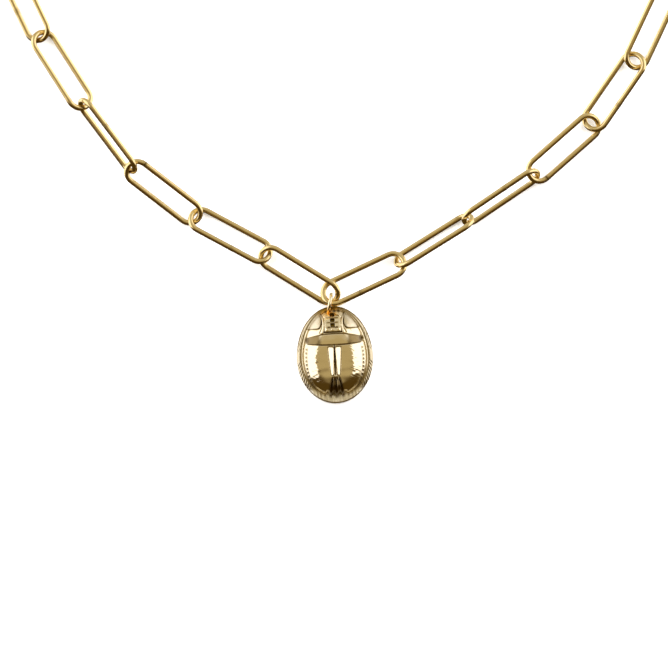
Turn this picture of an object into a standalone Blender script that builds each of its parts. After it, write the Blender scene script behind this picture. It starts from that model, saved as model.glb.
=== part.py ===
"""Scarab-beetle pendant on a long-link chain, lying flat as it would on a table.

Units are metres and +Z is up. The origin is on the pendant's flat back, at its widest point.
X runs to the right and Y towards the back of the neck, so the chain's loop opens above the pendant.

Every link's place is worked out from the link sizes, the heading of each link and how far its end
runs past the end of the next one, so a change of size moves the whole chain with it.
"""
import math

import bmesh
import bpy
from mathutils import Matrix, Vector

MM = 0.001

# Pendant body: an egg outline, longer above its widest line than below it
PENDANT_HALF_WIDTH = 6.25 * MM
PENDANT_ABOVE = 8.50 * MM
PENDANT_BELOW = 7.45 * MM
PENDANT_HEIGHT = 5.0 * MM
PENDANT_TILT = math.radians(2.8)
RIM_THICKNESS = 1.20 * MM
RIM_CHAMFER = 0.35 * MM
BODY_INSET_SIDE = 0.95 * MM
BODY_INSET_ABOVE = 0.45 * MM
BODY_INSET_BELOW = 1.15 * MM

# The dome's height is (1 - r ** flatness) ** DOME_SHOULDER of the whole, where r is the share of
# the way from its middle to its edge; the flatness grows by DOME_TAIL_FLATNESS towards the tail
DOME_FLATNESS = 4.0
DOME_TAIL_FLATNESS = 7.0
DOME_SHOULDER = 0.60
DOME_COLUMNS = 42
DOME_ROWS = 18
RIM_FACETS = 52

# Where helper blocks begin, as shares of the rim's thickness, and end, as a share of the height
DOME_FOOT = 1 / 3
RAISED_FOOT = 0.6
CARVING_FOOT = 0.8
BLOCK_TOP = 1.5

# How far each raised part stands proud of the domed body, as a share of its height
BAND_LIFT = 0.065
PANEL_LIFT = 0.085
HEAD_LIFT = 0.080
CHEEK_LIFT = 0.100
RIB_LIFT = 0.075

# The smooth strip between the front of the beetle and its wing cases
BAND_TOP = 3.75 * MM
BAND_BOTTOM = 2.20 * MM
BAND_BOW = 0.25 * MM
BAND_TOP_REACH = 0.94
BAND_BOTTOM_REACH = 0.87

# The ribbed plate down the middle of the front, with its pits
HEAD_HALF_WIDTH = 1.35 * MM
HEAD_TOP_HALF_WIDTH = 1.05 * MM
HEAD_BOTTOM = 4.35 * MM
HEAD_TOP = 7.55 * MM
HEAD_PITS = 3
HEAD_PIT_FIRST = 7.05 * MM
HEAD_PIT_STEP = 0.84 * MM
HEAD_PIT_SIDE = 0.50 * MM
HEAD_PIT_DEPTH = 0.45 * MM
HEAD_GROOVE_WIDTH = 0.16 * MM
HEAD_GROOVE_FLOOR = 0.035
HEAD_GROOVE_REACH = 1.2

# The curved bars beside the ribbed plate, and the plates beside them
CHEEK_INNER = 1.46 * MM
CHEEK_WIDTH = 0.34 * MM
CHEEK_FLARE = 0.22 * MM
CHEEK_TOP = 6.90 * MM
PANEL_INNER = 2.12 * MM
PANEL_LOW = 4.80 * MM
PANEL_HIGH = 7.05 * MM
PANEL_CORNER = 0.24 * MM
PANEL_BULGE = 0.08 * MM
PANEL_REACH = 0.92

# The seam of the wing cases, the ribs beside it and the furrows below them
SEAM_WIDTH = 0.20 * MM
SEAM_DEPTH = 0.35 * MM
RIB_CLEARANCE = 0.03 * MM
RIB_WIDTH_TOP = 0.88 * MM
RIB_WIDTH_BOTTOM = 0.40 * MM
RIB_SPREAD = 0.18 * MM
RIB_CORNER = 0.20 * MM
RIB_TOP = 1.80 * MM
RIB_BOTTOM = -3.00 * MM
FURROWS = 3
FURROW_TOP = -3.30 * MM
FURROW_BOTTOM = -6.60 * MM
FURROW_TOP_SPACING = 0.50 * MM
FURROW_SPACING = 1.10 * MM
FURROW_WIDTH = 0.42 * MM
FURROW_DEPTH = 0.36 * MM

# Slanting notches for the folded legs, along both sides of the rim
LEG_NOTCHES = 7
LEG_NOTCH_WIDTH = 0.30 * MM
LEG_NOTCH_LENGTH = 0.90 * MM
LEG_NOTCH_INSET = 0.17 * MM
LEG_NOTCH_DEPTH = 0.27 * MM
LEG_NOTCH_FIRST = math.radians(-42)
LEG_NOTCH_LAST = math.radians(22)
LEG_NOTCH_SLANT = math.radians(25)

# Corners closer together than this after the cuts are joined into one
WELD_DISTANCE = 0.002 * MM

# The small ring soldered to the pendant's top edge, standing on edge
LOOP_RADIUS = 1.50 * MM
LOOP_WIRE = 0.55 * MM
LOOP_SIDE = -0.40 * MM
LOOP_REACH = 0.50 * MM
LOOP_LEAN = math.radians(-12.0)
LOOP_FLOOR_GAP = 0.02 * MM
LOOP_BENDS = 22
LOOP_SIDES = 8

# Chain links: long stadium loops of round wire
LINK_LENGTH = 14.37 * MM
LINK_WIDTH = 3.90 * MM
LINK_WIRE = 0.92 * MM
FRONT_BENDS = 6
BACK_BENDS = 5

# The joint where the two halves of the chain meet, above the pendant
JOINT_ASIDE = -0.705 * MM
JOINT_AHEAD = 10.43 * MM
JOINT_HEIGHT = 1.82 * MM
JOINT_OVERLAP = 2.35 * MM

# Each front link from the pendant outwards: its heading above the horizontal,
# its roll about its own length, and how far its end runs past the next link's end
LEFT_LINKS = (
    (31.6, 30.0, 1.32 * MM),
    (28.2, -24.0, 1.27 * MM),
    (37.6, 23.0, 1.27 * MM),
    (53.0, 67.0, 1.22 * MM),
    (57.4, -28.0, 1.17 * MM),
    (64.5, 25.0, 1.27 * MM),
)
RIGHT_LINKS = (
    (25.3, -17.0, 1.27 * MM),
    (31.9, -61.0, 1.27 * MM),
    (34.0, 62.0, 1.32 * MM),
    (41.5, 19.0, 1.82 * MM),
    (55.4, -20.0, 2.12 * MM),
    (65.0, 23.0, 1.27 * MM),
)
BACK_LINKS_EACH_SIDE = 9
BACK_ROLL = 24.0
BACK_OVERLAP = 1.32 * MM
BACK_SEARCH_STEPS = 80

# The clasp at the back: an open hook with a closed eye, bent from one wire
CLASP_LENGTH = 17.0 * MM
CLASP_WIDTH = 4.20 * MM
CLASP_WIRE = 1.00 * MM
CLASP_ROLL = 24.0
CLASP_BALL = 1.60 * MM
CLASP_EYE_SHARE = 0.36
CLASP_TIP_SHARE = 0.30
CLASP_BAR_OVERRUN = 0.10
CLASP_BAR_LEAN = 0.40
CLASP_BAR_SINK = 0.97
CLASP_BAR_WIRE = 0.97
BALL_COLUMNS = 12
BALL_ROWS = 8

GOLD = (0.78, 0.62, 0.33, 1.0)
WIRE_GOLD = (0.76, 0.61, 0.34, 1.0)


def clear_scene():
    """Remove whatever the file opened with."""
    for thing in list(bpy.data.objects):
        bpy.data.objects.remove(thing, do_unlink=True)


def new_collection(name, hidden):
    """A collection for solids, or a hidden one for cutters."""
    made = bpy.data.collections.new(name)
    made.hide_render = hidden
    bpy.context.scene.collection.children.link(made)
    return made


def new_material(name, colour, roughness):
    """A plain metal finish."""
    made = bpy.data.materials.new(name)
    made.use_nodes = True
    shader = made.node_tree.nodes["Principled BSDF"]
    shader.inputs["Base Color"].default_value = colour
    shader.inputs["Roughness"].default_value = roughness
    shader.inputs["Metallic"].default_value = 1.0
    return made


clear_scene()
SOLIDS = new_collection("scarab_necklace", False)
CUTTERS = new_collection("scarab_necklace_cutters", True)
PENDANT_GOLD = new_material("pendant_gold", GOLD, 0.18)
CHAIN_GOLD = new_material("chain_gold", WIRE_GOLD, 0.22)
CLASP_GOLD = new_material("clasp_gold", WIRE_GOLD, 0.22)


def add_solid(name, data, material):
    """Link mesh or curve data as one of the necklace's solids."""
    thing = bpy.data.objects.new(name, data)
    SOLIDS.objects.link(thing)
    data.materials.append(material)
    return thing


def add_cutter(name, data):
    """Link mesh or curve data as a helper that only shapes a solid."""
    thing = bpy.data.objects.new(name, data)
    CUTTERS.objects.link(thing)
    thing.hide_render = True
    thing.display_type = "WIRE"
    return thing


def mesh_from(bm, name):
    """Finish a bmesh as mesh data with outward faces."""
    bmesh.ops.recalc_face_normals(bm, faces=bm.faces)
    data = bpy.data.meshes.new(name)
    bm.to_mesh(data)
    bm.free()
    return data


def boolean(target, tool, operation):
    """Add an exact Boolean to an object."""
    step = target.modifiers.new(tool.name[:40], "BOOLEAN")
    step.solver = "EXACT"
    step.operation = operation
    step.object = tool


def weld_corners(target):
    """Join corners that the cuts left almost in one place."""
    step = target.modifiers.new("weld_corners", "WELD")
    step.merge_threshold = WELD_DISTANCE


def egg(vector, half_width, above, below):
    """Stretch a point of the unit circle to the egg outline."""
    return Vector((vector.x * half_width, vector.y * (above if vector.y > 0 else below), vector.z))


def rim_mesh(name):
    """The flat-backed rim that carries the body, with its upper edge sloped in."""
    bm = bmesh.new()
    bmesh.ops.create_cone(
        bm, segments=RIM_FACETS, radius1=1.0, radius2=1.0, depth=1.0, cap_ends=True
    )
    for vertex in bm.verts:
        lower = vertex.co.z < 0
        vertex.co = egg(vertex.co, PENDANT_HALF_WIDTH, PENDANT_ABOVE, PENDANT_BELOW)
        vertex.co.z = 0.0 if lower else RIM_THICKNESS - RIM_CHAMFER
    top = [face for face in bm.faces if all(v.co.z > RIM_THICKNESS / 2 for v in face.verts)]
    lifted = bmesh.ops.extrude_face_region(bm, geom=top)["geom"]
    for vertex in (item for item in lifted if isinstance(item, bmesh.types.BMVert)):
        vertex.co.x *= (PENDANT_HALF_WIDTH - RIM_CHAMFER) / PENDANT_HALF_WIDTH
        vertex.co.y *= (PENDANT_BELOW - RIM_CHAMFER) / PENDANT_BELOW
        vertex.co.z = RIM_THICKNESS
    bmesh.ops.delete(bm, geom=top, context="FACES_ONLY")
    return mesh_from(bm, name)


def egg_dome(name, grow):
    """The domed body, made larger by a share when it bounds a raised part."""
    bm = bmesh.new()
    bmesh.ops.create_uvsphere(bm, u_segments=DOME_COLUMNS, v_segments=DOME_ROWS, radius=1.0)
    scale = 1.0 + grow
    for vertex in bm.verts:
        share = min(1.0, math.hypot(vertex.co.x, vertex.co.y))
        flatness = DOME_FLATNESS + DOME_TAIL_FLATNESS * max(0.0, -vertex.co.y) ** 2
        height = (1 - share**flatness) ** DOME_SHOULDER
        height = math.copysign(height, vertex.co.z)
        vertex.co = egg(
            vertex.co,
            PENDANT_HALF_WIDTH - BODY_INSET_SIDE,
            PENDANT_ABOVE - BODY_INSET_ABOVE,
            PENDANT_BELOW - BODY_INSET_BELOW,
        )
        vertex.co.z = height * PENDANT_HEIGHT
        vertex.co *= scale
    cut = bmesh.ops.bisect_plane(
        bm,
        geom=bm.verts[:] + bm.edges[:] + bm.faces[:],
        plane_co=(0, 0, RIM_THICKNESS * DOME_FOOT),
        plane_no=(0, 0, 1),
        clear_inner=True,
    )
    edges = [item for item in cut["geom_cut"] if isinstance(item, bmesh.types.BMEdge)]
    bmesh.ops.holes_fill(bm, edges=edges, sides=0)
    return add_cutter(name, mesh_from(bm, name))


def prism(name, outline, low, high):
    """A straight-sided block over a closed outline."""
    bm = bmesh.new()
    face = bm.faces.new([bm.verts.new((x, y, low)) for x, y in outline])
    grown = bmesh.ops.extrude_face_region(bm, geom=[face])["geom"]
    bmesh.ops.translate(
        bm,
        verts=[item for item in grown if isinstance(item, bmesh.types.BMVert)],
        vec=(0, 0, high - low),
    )
    return add_cutter(name, mesh_from(bm, name))


def raised(name, outline, lift):
    """A raised part: a block over its outline, topped by a copy of the dome a little larger."""
    part = prism(name, outline, RIM_THICKNESS * RAISED_FOOT, PENDANT_HEIGHT * BLOCK_TOP)
    boolean(part, egg_dome(name + "_limit", lift), "INTERSECT")
    return part


def arc(centre, radius_x, radius_y, start, stop, count):
    """Points along part of an ellipse, angles in degrees."""
    angles = [math.radians(start + (stop - start) * i / (count - 1)) for i in range(count)]
    return [(centre[0] + radius_x * math.cos(a), centre[1] + radius_y * math.sin(a)) for a in angles]


def mirrored(outline):
    """The same outline on the other side of the beetle."""
    return [(-x, y) for x, y in reversed(outline)]


def body_half_width(y):
    """Half width of the domed body's outline at this distance along it."""
    reach = PENDANT_ABOVE - BODY_INSET_ABOVE if y > 0 else PENDANT_BELOW - BODY_INSET_BELOW
    return (PENDANT_HALF_WIDTH - BODY_INSET_SIDE) * math.sqrt(max(0.0, 1 - (y / reach) ** 2))


def band_outline():
    """The smooth strip between the front of the beetle and its wing cases, bowed forwards."""
    top_half = body_half_width(BAND_TOP) * BAND_TOP_REACH
    bottom_half = body_half_width(BAND_BOTTOM) * BAND_BOTTOM_REACH
    top = arc((0, BAND_TOP - BAND_BOW), top_half, BAND_BOW, 0, 180, 9)
    bottom = arc((0, BAND_BOTTOM - BAND_BOW), bottom_half, BAND_BOW, 180, 0, 9)
    return top + bottom


def panel_outline():
    """The rounded three-cornered plate at the right side of the beetle's front."""

    def outer(y):
        return body_half_width(y) * PANEL_REACH

    middle = (PANEL_LOW + PANEL_HIGH) / 2
    return [
        (PANEL_INNER + PANEL_CORNER, PANEL_LOW),
        (outer(PANEL_LOW) - PANEL_CORNER, PANEL_LOW),
        (outer(PANEL_LOW + PANEL_CORNER), PANEL_LOW + PANEL_CORNER),
        (outer(middle), middle),
        (outer(PANEL_HIGH - PANEL_CORNER), PANEL_HIGH - PANEL_CORNER),
        ((PANEL_INNER + outer(PANEL_HIGH)) / 2, PANEL_HIGH),
        (PANEL_INNER, PANEL_HIGH - PANEL_CORNER),
        (PANEL_INNER - PANEL_BULGE, middle),
        (PANEL_INNER, PANEL_LOW + PANEL_CORNER),
    ]


def head_outline():
    """The ribbed plate down the middle of the beetle's front."""
    middle = (HEAD_BOTTOM + HEAD_TOP) / 2
    return [
        (HEAD_HALF_WIDTH, HEAD_BOTTOM),
        (HEAD_HALF_WIDTH, middle),
        (HEAD_TOP_HALF_WIDTH, HEAD_TOP),
        (-HEAD_TOP_HALF_WIDTH, HEAD_TOP),
        (-HEAD_HALF_WIDTH, middle),
        (-HEAD_HALF_WIDTH, HEAD_BOTTOM),
    ]


def cheek_outline():
    """The thin curved bar at the right of the ribbed plate, flaring at its foot."""
    foot = BAND_TOP + BAND_BOW
    middle = (foot + CHEEK_TOP) / 2
    outer = CHEEK_INNER + CHEEK_WIDTH
    return [
        (CHEEK_INNER, middle),
        (CHEEK_INNER + CHEEK_FLARE, foot),
        (outer + CHEEK_FLARE, foot),
        (outer, middle),
        (outer, CHEEK_TOP),
        ((CHEEK_INNER + outer) / 2, CHEEK_TOP + CHEEK_WIDTH / 2),
        (CHEEK_INNER, CHEEK_TOP),
    ]


def rib_outline():
    """The raised rib at the right of the seam, narrowing down the wing case."""
    inner = SEAM_WIDTH / 2 + RIB_CLEARANCE
    return [
        (inner, RIB_TOP),
        (inner + RIB_SPREAD, RIB_BOTTOM),
        (inner + RIB_SPREAD + RIB_WIDTH_BOTTOM, RIB_BOTTOM),
        (inner + RIB_WIDTH_TOP, RIB_TOP - RIB_CORNER),
        (inner + RIB_WIDTH_TOP - RIB_CORNER, RIB_TOP),
    ]


def box(name, centre, size, turn=0.0):
    """A cutter box."""
    bm = bmesh.new()
    bmesh.ops.create_cube(bm, size=1.0)
    bmesh.ops.scale(bm, vec=size, verts=bm.verts)
    bmesh.ops.rotate(bm, cent=(0, 0, 0), matrix=Matrix.Rotation(turn, 3, "Z"), verts=bm.verts)
    bmesh.ops.translate(bm, vec=centre, verts=bm.verts)
    return add_cutter(name, mesh_from(bm, name))


def shell_cutter(name, outline, depth):
    """A cutter that takes a shallow groove of even depth out of the dome."""
    part = prism(name, outline, RIM_THICKNESS * CARVING_FOOT, PENDANT_HEIGHT * BLOCK_TOP)
    boolean(part, egg_dome(name + "_floor", -depth / PENDANT_HEIGHT), "DIFFERENCE")
    return part


def rectangle(half_width, low, high, aside=0.0):
    """Corner points of an upright rectangle."""
    return [
        (aside - half_width, low),
        (aside + half_width, low),
        (aside + half_width, high),
        (aside - half_width, high),
    ]


def cut_leg_notches(body):
    """Rows of slanting notches along both sides of the rim's upper edge."""
    for side, label in ((1, "right"), (-1, "left")):
        for i in range(LEG_NOTCHES):
            share = i / (LEG_NOTCHES - 1)
            angle = LEG_NOTCH_FIRST + (LEG_NOTCH_LAST - LEG_NOTCH_FIRST) * share
            spot = egg(
                Vector((math.cos(angle) * side, math.sin(angle), 0)),
                PENDANT_HALF_WIDTH - LEG_NOTCH_INSET,
                PENDANT_ABOVE - LEG_NOTCH_INSET,
                PENDANT_BELOW - LEG_NOTCH_INSET,
            )
            cutter = box(
                f"leg_notch_{label}_{i + 1}",
                (spot.x, spot.y, RIM_THICKNESS),
                (LEG_NOTCH_LENGTH, LEG_NOTCH_WIDTH, LEG_NOTCH_DEPTH * 2),
                (angle + LEG_NOTCH_SLANT) * side,
            )
            boolean(body, cutter, "DIFFERENCE")


def make_head_plate():
    """The ribbed plate: a raised part with shallow grooves, two to each pit."""
    head = raised("head_plate", head_outline(), HEAD_LIFT)
    first = HEAD_PIT_FIRST + HEAD_PIT_STEP / 4
    for i in range(HEAD_PITS * 2):
        middle = first - HEAD_PIT_STEP * i / 2
        low = middle - HEAD_GROOVE_WIDTH / 2
        high = middle + HEAD_GROOVE_WIDTH / 2
        strip = rectangle(HEAD_HALF_WIDTH * HEAD_GROOVE_REACH, low, high)
        groove = prism(f"head_groove_{i + 1}", strip, RIM_THICKNESS, PENDANT_HEIGHT * BLOCK_TOP)
        floor = egg_dome(f"head_groove_floor_{i + 1}", HEAD_GROOVE_FLOOR)
        boolean(groove, floor, "DIFFERENCE")
        boolean(head, groove, "DIFFERENCE")
    return head


def carve(body):
    """The pits of the head, the seam of the wing cases and the furrows that fan out below."""
    half_pit = HEAD_PIT_SIDE / 2
    for i in range(HEAD_PITS):
        middle = HEAD_PIT_FIRST - HEAD_PIT_STEP * i
        pit = rectangle(half_pit, middle - half_pit, middle + half_pit)
        boolean(body, shell_cutter(f"head_pit_{i + 1}", pit, HEAD_PIT_DEPTH), "DIFFERENCE")
    seam = rectangle(SEAM_WIDTH / 2, RIB_BOTTOM - RIB_CLEARANCE, BAND_BOTTOM - BAND_BOW * 2)
    boolean(body, shell_cutter("wing_seam", seam, SEAM_DEPTH), "DIFFERENCE")
    for i in range(FURROWS):
        aside = i - (FURROWS - 1) / 2
        head = aside * FURROW_TOP_SPACING
        foot = aside * FURROW_SPACING
        furrow = [
            (head, FURROW_TOP),
            (foot - FURROW_WIDTH / 2, FURROW_BOTTOM),
            (foot + FURROW_WIDTH / 2, FURROW_BOTTOM),
        ]
        boolean(body, shell_cutter(f"wing_furrow_{i + 1}", furrow, FURROW_DEPTH), "DIFFERENCE")


def make_hanging_ring():
    """The ring that stands on edge at the pendant's top."""
    bpy.ops.mesh.primitive_torus_add(
        major_segments=LOOP_BENDS,
        minor_segments=LOOP_SIDES,
        major_radius=LOOP_RADIUS,
        minor_radius=LOOP_WIRE / 2,
    )
    made = bpy.context.active_object
    data = made.data
    bpy.data.objects.remove(made, do_unlink=True)
    upright = Matrix.Rotation(math.pi / 2, 4, "Y")
    lean = Matrix.Rotation(LOOP_LEAN, 4, "Z")
    height = LOOP_RADIUS + LOOP_WIRE / 2 + LOOP_FLOOR_GAP
    place_at = Matrix.Translation((LOOP_SIDE, PENDANT_ABOVE + LOOP_REACH, height))
    data.transform(place_at @ lean @ upright)
    return add_cutter("hanging_ring", data)


def make_pendant():
    """The beetle: rim, domed body, raised parts, then carving, then the ring at its top edge."""
    body = add_solid("scarab_pendant", rim_mesh("scarab_pendant"), PENDANT_GOLD)
    cut_leg_notches(body)
    boolean(body, egg_dome("beetle_dome", 0.0), "UNION")
    boolean(body, make_head_plate(), "UNION")
    boolean(body, raised("neck_band", band_outline(), BAND_LIFT), "UNION")
    for label, outline, lift in (
        ("front_panel", panel_outline(), PANEL_LIFT),
        ("cheek_bar", cheek_outline(), CHEEK_LIFT),
        ("wing_rib", rib_outline(), RIB_LIFT),
    ):
        boolean(body, raised(f"{label}_right", outline, lift), "UNION")
        boolean(body, raised(f"{label}_left", mirrored(outline), lift), "UNION")
    carve(body)
    boolean(body, make_hanging_ring(), "UNION")
    weld_corners(body)
    for thing in list(CUTTERS.objects) + [body]:
        thing.matrix_world = Matrix.Rotation(PENDANT_TILT, 4, "Z")


def height_needed(roll, width, wire):
    """Height of a rolled link's middle line when its lower side rests on the floor."""
    return wire / 2 + width / 2 * abs(math.sin(math.radians(roll)))


class Piece:
    """One link or the clasp: its two joints, its roll and its sizes."""

    def __init__(self, name, start, stop, roll, overlaps, side, width, wire):
        self.name = name
        self.start = start
        self.stop = stop
        self.roll = roll
        self.overlaps = overlaps
        self.side = side
        self.width = width
        self.wire = wire


def front_strand(label, rows, side):
    """Walk outwards from the middle joint, one link at a time."""
    spot = Vector((JOINT_ASIDE, JOINT_AHEAD))
    before = JOINT_OVERLAP
    made = []
    for i, (heading, roll, after) in enumerate(rows):
        step = LINK_LENGTH - (before + after) / 2
        angle = math.radians(heading)
        nearer = spot
        spot = spot + Vector((side * math.cos(angle), math.sin(angle))) * step
        name = f"chain_link_{label}_{i + 1:02d}"
        made.append(Piece(name, nearer, spot, roll, (before, after), side, LINK_WIDTH, LINK_WIRE))
        before = after
    return made


def back_curve(left_end, right_end):
    """Joints of the back of the chain, as chords of the circle through both front strands' ends."""
    across = right_end - left_end
    chord = across.length
    step = LINK_LENGTH - BACK_OVERLAP
    clasp_step = CLASP_LENGTH - BACK_OVERLAP
    steps = [step] * BACK_LINKS_EACH_SIDE + [clasp_step] + [step] * BACK_LINKS_EACH_SIDE

    def turn(length, radius):
        return 2 * math.asin(length / 2 / radius)

    small = max(chord, *steps) / 2
    large = sum(steps)
    for _ in range(BACK_SEARCH_STEPS):
        radius = (small + large) / 2
        if sum(turn(s, radius) for s in steps) > 2 * math.pi - turn(chord, radius):
            small = radius
        else:
            large = radius
    ahead = Vector((-across.y, across.x)).normalized()
    centre = (left_end + right_end) / 2 + ahead * math.sqrt(radius**2 - chord**2 / 4)
    angle = math.atan2(left_end.y - centre.y, left_end.x - centre.x)
    joints = [left_end]
    for length in steps:
        angle -= turn(length, radius)
        joints.append(centre + Vector((math.cos(angle), math.sin(angle))) * radius)
    return joints


def chain_pieces():
    """Every link and the clasp, in the plane of the floor."""
    left = front_strand("left", LEFT_LINKS, -1)
    right = front_strand("right", RIGHT_LINKS, 1)
    joints = back_curve(left[-1].stop, right[-1].stop)
    overlaps = (BACK_OVERLAP, BACK_OVERLAP)
    for i in range(BACK_LINKS_EACH_SIDE):
        roll = BACK_ROLL if i % 2 else -BACK_ROLL
        for strand, label, side, start, stop in (
            (left, "left", -1, joints[i], joints[i + 1]),
            (right, "right", 1, joints[-1 - i], joints[-2 - i]),
        ):
            name = f"chain_link_{label}_{len(strand) + 1:02d}"
            strand.append(Piece(name, start, stop, roll, overlaps, side, LINK_WIDTH, LINK_WIRE))
    last_roll = -CLASP_ROLL if BACK_LINKS_EACH_SIDE % 2 == 0 else CLASP_ROLL
    clasp = Piece(
        "hook_clasp",
        joints[BACK_LINKS_EACH_SIDE],
        joints[BACK_LINKS_EACH_SIDE + 1],
        last_roll,
        overlaps,
        -1,
        CLASP_WIDTH,
        CLASP_WIRE,
    )
    return left + right + [clasp]


def joint_key(spot):
    """A joint's place in whole thousandths of a millimetre, so that both of its links find it."""
    return (round(spot.x / MM * 1000), round(spot.y / MM * 1000))


def joint_heights(pieces):
    """The least height at each joint that keeps both of its links above the floor."""
    heights = {joint_key(Vector((JOINT_ASIDE, JOINT_AHEAD))): JOINT_HEIGHT}
    for piece in pieces:
        need = height_needed(piece.roll, piece.width, piece.wire)
        for spot in (piece.start, piece.stop):
            heights[joint_key(spot)] = max(heights.get(joint_key(spot), 0.0), need)
    return heights


def place(piece, heights):
    """The piece's own axes in the room, and the length between its joints."""
    start = Vector((*piece.start, heights[joint_key(piece.start)]))
    stop = Vector((*piece.stop, heights[joint_key(piece.stop)]))
    along = (stop - start).normalized()
    across = Vector((-along.y, along.x, 0)).normalized() * piece.side
    up = along.cross(across).normalized()
    up *= math.copysign(1.0, up.z)
    roll = math.radians(piece.roll)
    return start, along, across * math.cos(roll) + up * math.sin(roll), (stop - start).length


def stadium(piece, heights, bends):
    """Centre line of a link: a half circle at each end and straight sides between them."""
    start, along, across, length = place(piece, heights)
    radius = piece.width / 2
    far = length + piece.overlaps[1] / 2 - radius
    near = radius - piece.overlaps[0] / 2
    turns = [math.pi * i / bends - math.pi / 2 for i in range(bends + 1)]
    flat = [(far + radius * math.cos(t), radius * math.sin(t)) for t in turns]
    flat += [(near - radius * math.cos(t), -radius * math.sin(t)) for t in turns]
    return [start + along * x + across * y for x, y in flat]


def tube(name, points, wire, closed):
    """Round wire along a line of points."""
    data = bpy.data.curves.new(name, "CURVE")
    data.dimensions = "3D"
    data.bevel_depth = wire / 2
    data.bevel_resolution = 2
    data.use_fill_caps = not closed
    line = data.splines.new("POLY")
    line.points.add(len(points) - 1)
    for spot, point in zip(points, line.points):
        point.co = (*spot, 1.0)
    line.use_cyclic_u = closed
    return data


def tube_mesh(name, points, wire):
    """The same wire as a mesh, for joining."""
    curve = add_cutter(name + "_line", tube(name, points, wire, False))
    bpy.context.view_layer.update()
    graph = bpy.context.evaluated_depsgraph_get()
    data = bpy.data.meshes.new_from_object(curve.evaluated_get(graph))
    bpy.data.objects.remove(curve, do_unlink=True)
    bm = bmesh.new()
    bm.from_mesh(data)
    bmesh.ops.remove_doubles(bm, verts=bm.verts, dist=WELD_DISTANCE)
    bpy.data.meshes.remove(data)
    return mesh_from(bm, name)


def make_clasp(piece, heights):
    """The hook: one wire from its ball tip round the hook, down the shank and round the eye."""
    start, along, across, length = place(piece, heights)
    radius = piece.width / 2
    far = length + piece.overlaps[1] / 2 - radius
    near = radius - piece.overlaps[0] / 2
    turns = [math.pi * i / FRONT_BENDS - math.pi / 2 for i in range(FRONT_BENDS + 1)]
    tip = far - (far - near) * CLASP_TIP_SHARE
    eye = near + (far - near) * CLASP_EYE_SHARE
    flat = [(tip, radius)]
    flat += [(far + radius * math.cos(t), radius * math.sin(t)) for t in reversed(turns)]
    flat += [(near - radius * math.cos(t), radius * math.sin(t)) for t in turns]
    flat += [(eye - radius, radius)]

    def in_room(x, y):
        return start + along * x + across * y

    wire = tube_mesh(piece.name, [in_room(x, y) for x, y in flat], piece.wire)
    body = add_solid(piece.name, wire, CLASP_GOLD)
    bar = [
        in_room(eye - radius * (1 + CLASP_BAR_OVERRUN), radius),
        in_room(eye + radius * CLASP_BAR_LEAN, -radius * CLASP_BAR_SINK),
    ]
    closing = tube_mesh("clasp_eye_closing", bar, piece.wire * CLASP_BAR_WIRE)
    boolean(body, add_cutter("clasp_eye_closing", closing), "UNION")
    bm = bmesh.new()
    bmesh.ops.create_uvsphere(
        bm, u_segments=BALL_COLUMNS, v_segments=BALL_ROWS, radius=CLASP_BALL / 2
    )
    bmesh.ops.translate(bm, vec=in_room(tip, radius), verts=bm.verts)
    boolean(body, add_cutter("clasp_ball_tip", mesh_from(bm, "clasp_ball_tip")), "UNION")
    weld_corners(body)


def make_chain():
    """All the links as closed rings of wire, and the clasp between the two halves."""
    pieces = chain_pieces()
    heights = joint_heights(pieces)
    front = len(LEFT_LINKS)
    for piece in pieces:
        if piece.name == "hook_clasp":
            make_clasp(piece, heights)
            continue
        number = int(piece.name.rsplit("_", 1)[1])
        bends = FRONT_BENDS if number <= front else BACK_BENDS
        points = stadium(piece, heights, bends)
        add_solid(piece.name, tube(piece.name, points, piece.wire, True), CHAIN_GOLD)


make_pendant()
make_chain()
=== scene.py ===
# %% [markdown]
# A small gold-plated scarab pendant hangs by its ring from a chain of long oval links. It is
# photographed from straight above, lying on white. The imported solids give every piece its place,
# and this script gives each piece its fine shape and its polished finish.

# %% Load the frame
import math

import bpy
import numpy as np
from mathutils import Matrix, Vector


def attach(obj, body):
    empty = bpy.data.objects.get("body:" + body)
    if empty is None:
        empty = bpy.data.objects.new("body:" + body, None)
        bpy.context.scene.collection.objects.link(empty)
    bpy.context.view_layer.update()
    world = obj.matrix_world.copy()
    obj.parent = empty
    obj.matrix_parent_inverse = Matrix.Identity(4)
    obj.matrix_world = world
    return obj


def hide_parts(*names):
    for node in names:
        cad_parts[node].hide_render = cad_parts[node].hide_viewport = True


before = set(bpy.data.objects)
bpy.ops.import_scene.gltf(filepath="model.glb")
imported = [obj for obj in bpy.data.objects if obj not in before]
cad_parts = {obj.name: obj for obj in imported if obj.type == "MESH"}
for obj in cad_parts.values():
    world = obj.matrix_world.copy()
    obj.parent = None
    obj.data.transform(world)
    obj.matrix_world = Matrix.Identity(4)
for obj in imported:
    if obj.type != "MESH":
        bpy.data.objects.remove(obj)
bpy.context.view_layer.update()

MM = 0.001
PLATED = "pendant_gold"
WIRE = "chain_gold"
CLASP = "clasp_gold"

# %% [markdown]
# The camera looks straight down. A long lens from far away shows the necklace with hardly any
# perspective, as the photograph does, so sizes in the picture stay in proportion all over it.
# One millimetre of the necklace covers 6.1 pixels of a picture 668 pixels wide.

# %% The camera
PICTURE_MM = 668 / 6.1
CAMERA_DISTANCE = 1.2
SENSOR_MM = 36.0
VIEW_CENTRE = Vector((-0.148 * MM, 3.934 * MM, 1.5 * MM))

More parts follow.
